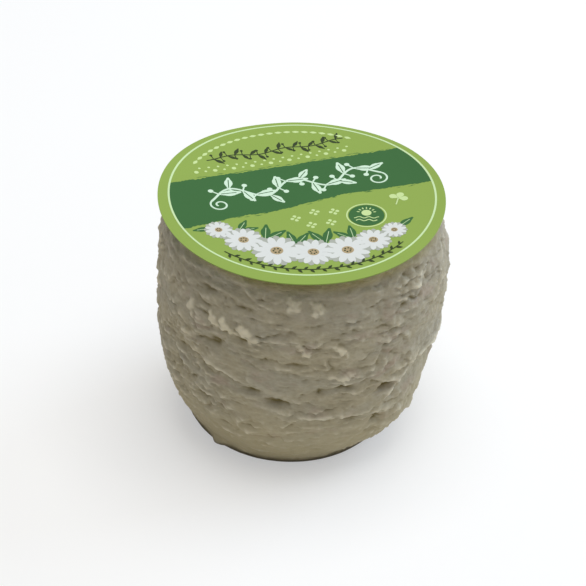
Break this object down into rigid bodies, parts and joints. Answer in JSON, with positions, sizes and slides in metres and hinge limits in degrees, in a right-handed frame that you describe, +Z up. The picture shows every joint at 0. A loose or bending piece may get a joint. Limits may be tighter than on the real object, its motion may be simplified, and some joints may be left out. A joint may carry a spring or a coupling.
{
  "type": "crottin goat cheese",
  "caption": "Small barrel-shaped fresh goat cheese with a wrinkled ivory rind and a round green paper label lying on its top.",
  "frame": {"origin": "middle of the flat base that the cheese stands on", "axes": "+Z up through the label, -Y towards the side that the picture shows, +X to its right"},
  "size_m": [0.0631, 0.0625, 0.055],
  "materials": {
    "cheese_rind": "soft matt ivory-beige rind, wrinkled and torn in layers, with raised paler curds",
    "label_paper": "coated paper printed in light and dark green with pale lines"
  },
  "bodies": {
    "root": {"cheese": "cheese_rind", "label": "label_paper"}
  },
  "joints": []
}
